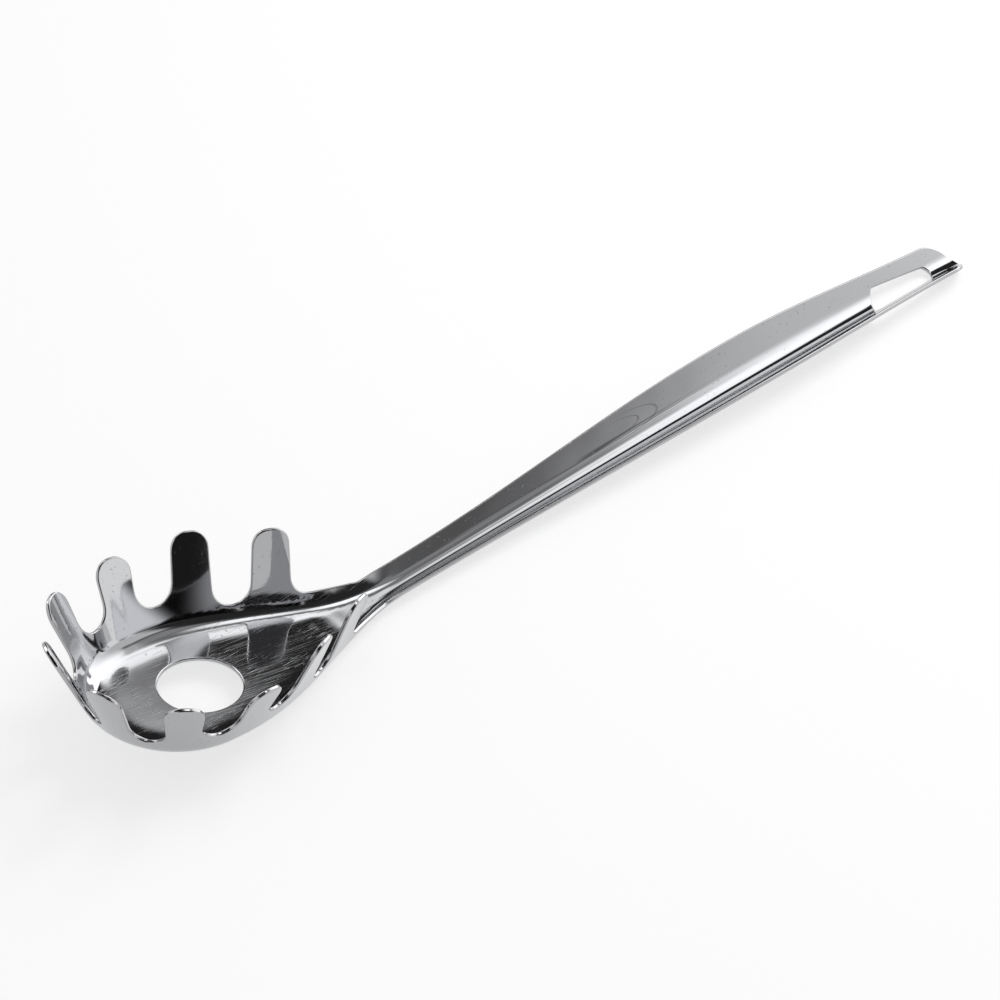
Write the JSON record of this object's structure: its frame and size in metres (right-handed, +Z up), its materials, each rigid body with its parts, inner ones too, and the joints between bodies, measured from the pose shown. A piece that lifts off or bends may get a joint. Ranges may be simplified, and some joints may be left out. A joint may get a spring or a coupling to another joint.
{
  "type": "pasta server",
  "caption": "Pasta server pressed from one sheet: a bowl with a drain hole and a rim of upright round-ended tines, flowing into a V-section handle with a slanted hanging hole.",
  "frame": {"origin": "middle of the bounding box, at the level of the table it lies on", "axes": "+X from the bowl to the end of the handle, +Y to the left across it, +Z up, with the server lying on its bowl and the end of its handle"},
  "size_m": [0.3286, 0.0692, 0.0346],
  "materials": {
    "stainless_sheet": "mirror polished stainless steel sheet"
  },
  "bodies": {
    "root": {"server_pressing": "stainless_sheet"}
  },
  "joints": []
}
